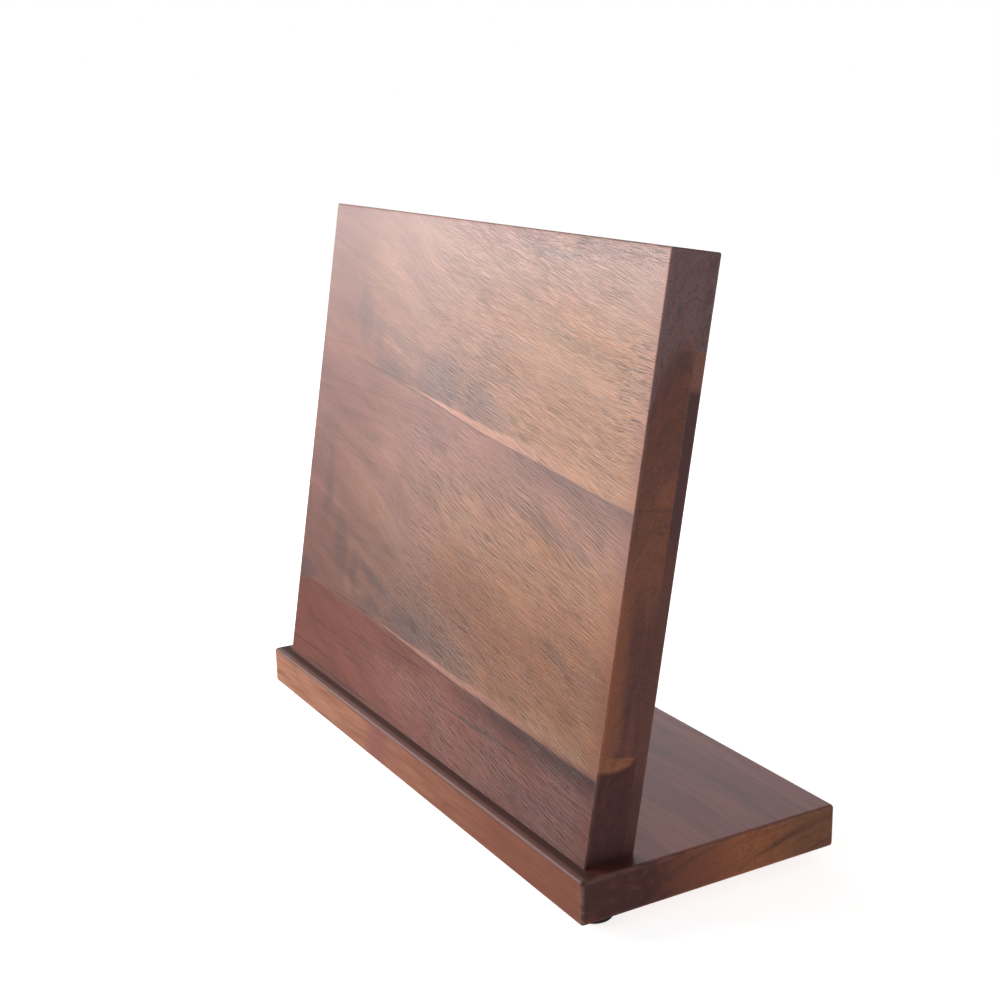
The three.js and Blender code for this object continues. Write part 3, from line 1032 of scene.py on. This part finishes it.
footLook = {
    "rubber": (0.020, 0.019, 0.019),
    "dusty": (0.085, 0.080, 0.075),
    "tread": 7.2 * mm,
    "treadHollow": 0.5 * mm,
    "hollowRadius": 4.6 * mm,
    "arcSteps": 8,
    "steps": 56,
}
footNodes = {
    "foot_front_left": "footFrontLeft",
    "foot_front_right": "footFrontRight",
    "foot_back_left": "footBackLeft",
    "foot_back_right": "footBackRight",
}


def makeRubber():
    look = footLook
    finish = Finish("blackRubber", IOR=1.5)
    x, y, z = finish.place()
    dust = finish.noise(x * 0.5, y * 0.5, z * 0.5, 5, 0.7)
    grit = finish.noise(x * 5, y * 5, z * 5, 2, 0.6)
    scuff = z.fade(1.2, 0.0) * dust.fade(0.4, 0.6)
    dusted = dust.fade(0.5, 0.75) * 0.35 + scuff * 0.5
    colour = finish.mix(dusted, look["rubber"], look["dusty"])
    return finish.connect(
        Base_Color=colour,
        Roughness=dust * 0.3 + 0.5,
        Normal=finish.bumped(grit * 0.4 + dust * 0.3, 0.35, 0.1 * mm),
    )


def makeFeet():
    look = footLook
    material = makeRubber()
    for node, name in footNodes.items():
        low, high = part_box(node)
        radius, height, tread = (high.x - low.x) / 2, high.z - low.z, look["tread"]
        profile = [(0, look["treadHollow"]), (look["hollowRadius"], look["treadHollow"])]
        profile += [(look["hollowRadius"] + look["treadHollow"], 0), (tread, 0)]
        for step in range(1, look["arcSteps"] + 1):
            angle = math.pi / 2 * step / look["arcSteps"]
            reach = tread + (radius - tread) * math.sin(angle)
            profile.append((reach, height * (1 - math.cos(angle))))
        profile.append((0, height))
        place = (middleX(node), (low.y + high.y) / 2, low.z)
        newPiece(name, turnedWork(profile, look["steps"], place), material, node)


makeFeet()
print("stage: feet made")

camera = {
    "azimuth": 60.09,
    "elevation": 14.86,
    "roll": -0.97,
    "place": (0.58961, -0.34712, 0.31167),
    "lens": 56.0,
    "sensor": 36,
    "nearest": 0.01,
}

studio = {
    "floorSize": 6.0,
    "floorColour": (0.86, 0.86, 0.85),
    "floorGlow": 0.80,
    "backdrop": 1.0,
    "skyHigh": 0.25,
    "skyLow": 0.04,
    "skyLowUntil": -0.15,
    "skyHighFrom": 0.25,
    "keyPower": 30.0,
    "keySize": (1.3, 1.0),
    "keyPlace": (-1.05, -0.97, 0.79),
    "keyAim": (0.0, 0.0, 0.14),
    "fillPower": 1.9,
    "fillSize": (1.4, 0.9),
    "fillPlace": (-1.25, 0.75, 0.45),
}


def makeCamera():
    data = bpy.data.cameras.new("camera")
    data.lens = camera["lens"]
    data.sensor_width = camera["sensor"]
    data.clip_start = camera["nearest"]
    made = bpy.data.objects.new("camera", data)
    turn = Matrix.Rotation(math.radians(camera["azimuth"]), 4, "Z")
    turn = turn @ Matrix.Rotation(math.radians(90 - camera["elevation"]), 4, "X")
    turn = turn @ Matrix.Rotation(math.radians(camera["roll"]), 4, "Z")
    made.matrix_world = Matrix.Translation(camera["place"]) @ turn
    bpy.context.scene.collection.objects.link(made)
    bpy.context.scene.camera = made


def makeFloor():
    work = bmesh.new()
    bmesh.ops.create_grid(work, x_segments=2, y_segments=2, size=studio["floorSize"])
    mesh = bpy.data.meshes.new("floor")
    work.to_mesh(mesh)
    work.free()
    floor = bpy.data.objects.new("floor", mesh)
    bpy.context.scene.collection.objects.link(floor)
    finish = Finish("paleFloor", Roughness=0.9, Emission_Strength=studio["floorGlow"])
    finish.connect(Base_Color=studio["floorColour"], Emission_Color=(1.0, 1.0, 1.0))
    finish.clearBehind()
    mesh.materials.append(finish.material)
    floor.visible_glossy = False


def makeSky():
    # a dim dome, brighter overhead, with the white backdrop seen by the camera alone
    world = bpy.data.worlds.new("studio")
    bpy.context.scene.world = world
    world.use_nodes = True
    nodes, links = world.node_tree.nodes, world.node_tree.links
    background = nodes["Background"]
    direction = nodes.new("ShaderNodeTexCoord")
    split = nodes.new("ShaderNodeSeparateXYZ")
    links.new(direction.outputs["Generated"], split.inputs[0])
    height = nodes.new("ShaderNodeMapRange")
    height.interpolation_type = "SMOOTHSTEP"
    height.inputs["From Min"].default_value = studio["skyLowUntil"]
    height.inputs["From Max"].default_value = studio["skyHighFrom"]
    height.inputs["To Min"].default_value = studio["skyLow"]
    height.inputs["To Max"].default_value = studio["skyHigh"]
    links.new(split.outputs["Z"], height.inputs["Value"])
    ray = nodes.new("ShaderNodeLightPath")
    pick = nodes.new("ShaderNodeMix")
    links.new(ray.outputs["Is Camera Ray"], pick.inputs[0])
    links.new(height.outputs[0], pick.inputs[2])
    pick.inputs[3].default_value = studio["backdrop"]
    links.new(pick.outputs[0], background.inputs["Strength"])
    background.inputs["Color"].default_value = (1, 1, 1, 1)


def makeSoftbox(name):
    data = bpy.data.lights.new(name, "AREA")
    data.shape = "RECTANGLE"
    data.size, data.size_y = studio[name + "Size"]
    data.energy = studio[name + "Power"]
    softbox = bpy.data.objects.new(name, data)
    place, aim = Vector(studio[name + "Place"]), Vector(studio["keyAim"])
    turn = (aim - place).to_track_quat("-Z", "Y").to_matrix().to_4x4()
    softbox.matrix_world = Matrix.Translation(place) @ turn
    softbox.visible_camera = False
    bpy.context.scene.collection.objects.link(softbox)


makeCamera()
makeFloor()
makeSky()
makeSoftbox("key")
makeSoftbox("fill")
bpy.context.scene.view_settings.view_transform = "Standard"
print("stage: camera, floor and light set")
